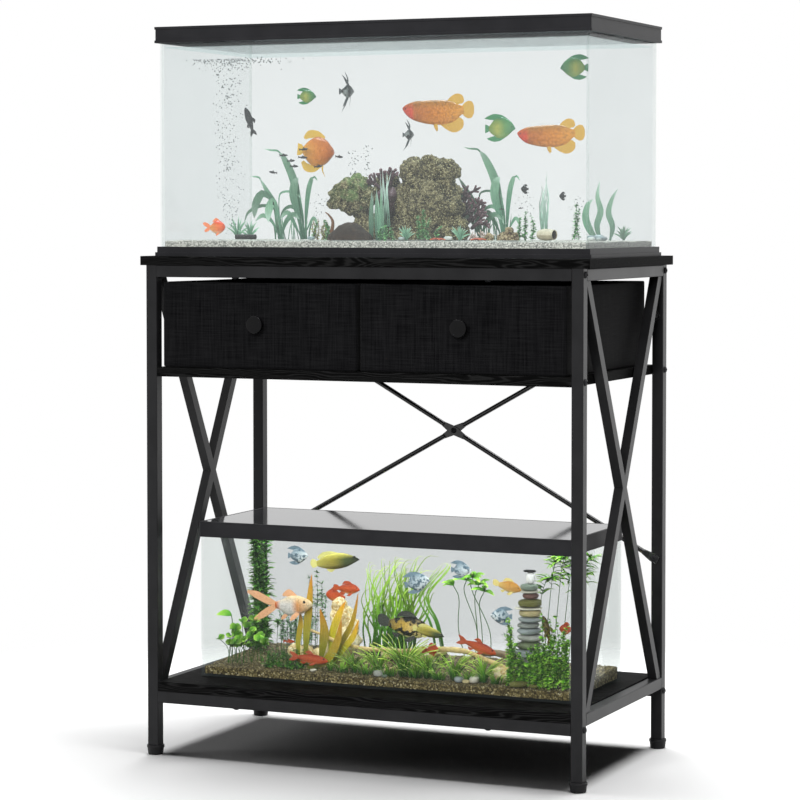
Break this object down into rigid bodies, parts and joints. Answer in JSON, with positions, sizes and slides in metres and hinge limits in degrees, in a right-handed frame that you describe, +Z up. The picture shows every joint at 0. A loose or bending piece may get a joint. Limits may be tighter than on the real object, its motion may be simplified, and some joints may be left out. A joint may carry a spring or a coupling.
{
  "type": "aquarium on stand",
  "caption": "Steel-framed stand with fabric drawers under a black wood-grain top, carrying a framed glass aquarium with a lid above and a lidded glass aquarium on the lower shelf.",
  "frame": {"origin": "on the floor under the middle of the stand", "axes": "+X to the right, +Y to the rear, +Z up; the drawers open towards -Y"},
  "size_m": [0.935, 0.5049, 1.4315],
  "materials": {
    "black_laminate": "wood-grain laminate, satin",
    "black_steel": "powder coat, satin",
    "rod_steel": "powder coat, satin",
    "fastener": "black oxide, satin",
    "zinc_screw": "zinc plated",
    "foot_plastic": "moulded, matte",
    "drawer_fabric": "woven linen look, matte",
    "drawer_board": "covered board, matte",
    "knob_black": "lacquered, satin",
    "tank_trim": "moulded ABS, satin",
    "lid_plate": "moulded, translucent pale grey",
    "lower_lid_plate": "polished",
    "tank_glass": "polished float glass",
    "pale_gravel": "loose, matte",
    "porous_rock": "porous, matte",
    "ornament": "fired, matte",
    "water_plant": "soft, satin",
    "dark_gravel": "loose, matte",
    "driftwood": "bare, weathered",
    "river_stone": "water-worn, satin",
    "fish_skin": "wet, glossy",
    "water": "clear, rippled"
  },
  "bodies": {
    "stand": {"tabletop": "black_laminate", "post_front_left": "black_steel", "post_front_right": "black_steel", "post_back_left": "black_steel", "post_back_right": "black_steel", "rail_top_front": "black_steel", "rail_top_back": "black_steel", "rail_bottom_front": "black_steel", "rail_bottom_back": "black_steel", "side_rail_top_left": "black_steel", "side_rail_top_right": "black_steel", "side_rail_bottom_left": "black_steel", "side_rail_bottom_right": "black_steel", "side_brace_left": "black_steel", "side_brace_right": "black_steel", "side_brace_halves_left": "black_steel", "side_brace_halves_right": "black_steel", "rear_rod_falling": "rod_steel", "rear_rod_rising": "rod_steel", "rear_rod_bolts": "fastener", "frame_bolts": "fastener", "top_screws": "fastener", "shelf_screws": "fastener", "drawer_shelf": "black_laminate", "lower_shelf": "black_laminate", "foot_inserts": "foot_plastic", "upper_base_trim": "tank_trim", "upper_glass_bottom": "tank_glass", "upper_glass_front": "tank_glass", "upper_glass_back": "tank_glass", "upper_glass_sides": "tank_glass", "upper_top_trim": "tank_trim", "upper_lid_rear": "lid_plate", "upper_gravel": "pale_gravel", "upper_rocks": "porous_rock", "upper_ornaments": "ornament", "upper_plants": "water_plant", "lower_glass_bottom": "tank_glass", "lower_glass_front": "tank_glass", "lower_glass_back": "tank_glass", "lower_glass_sides": "tank_glass", "lower_lid_frame": "tank_trim", "lower_gravel": "dark_gravel", "lower_driftwood": "driftwood", "lower_stones": "river_stone", "lower_plants": "water_plant"},
    "drawer_left": {"drawer_left_box": "drawer_fabric", "drawer_left_base": "drawer_board", "drawer_left_knob": "knob_black", "drawer_left_knob_screw": "zinc_screw"},
    "drawer_right": {"drawer_right_box": "drawer_fabric", "drawer_right_base": "drawer_board", "drawer_right_knob": "knob_black", "drawer_right_knob_screw": "zinc_screw"},
    "upper_flap": {"upper_lid_flap": "lid_plate"},
    "lower_panel": {"lower_lid_panel": "lower_lid_plate"},
    "foot_fl": {"foot_front_left": "foot_plastic"},
    "foot_fr": {"foot_front_right": "foot_plastic"},
    "foot_bl": {"foot_back_left": "foot_plastic"},
    "foot_br": {"foot_back_right": "foot_plastic"}
  },
  "joints": [
    {"name": "drawer_left_slide", "type": "slide", "parent": "stand", "child": "drawer_left", "axis": [0, -1, 0], "range_m": [0, 0.3]},
    {"name": "drawer_right_slide", "type": "slide", "parent": "stand", "child": "drawer_right", "axis": [0, -1, 0], "range_m": [0, 0.3]},
    {"name": "upper_flap_hinge", "type": "hinge", "parent": "stand", "child": "upper_flap", "pos_m": [0, 0.059, 1.4275], "axis": [-1, 0, 0], "range_deg": [0, 95]},
    {"name": "lower_panel_hinge", "type": "hinge", "parent": "stand", "child": "lower_panel", "pos_m": [0.007, 0.1296, 0.453], "axis": [-1, 0, 0], "range_deg": [0, 75]},
    {"name": "foot_fl_turn", "type": "hinge", "parent": "stand", "child": "foot_fl", "pos_m": [-0.4435, -0.2295, 0.02], "axis": [0, 0, 1], "continuous": true},
    {"name": "foot_fr_turn", "type": "hinge", "parent": "stand", "child": "foot_fr", "pos_m": [0.4435, -0.2295, 0.02], "axis": [0, 0, 1], "continuous": true},
    {"name": "foot_bl_turn", "type": "hinge", "parent": "stand", "child": "foot_bl", "pos_m": [-0.4435, 0.2295, 0.02], "axis": [0, 0, 1], "continuous": true},
    {"name": "foot_br_turn", "type": "hinge", "parent": "stand", "child": "foot_br", "pos_m": [0.4435, 0.2295, 0.02], "axis": [0, 0, 1], "continuous": true}
  ]
}
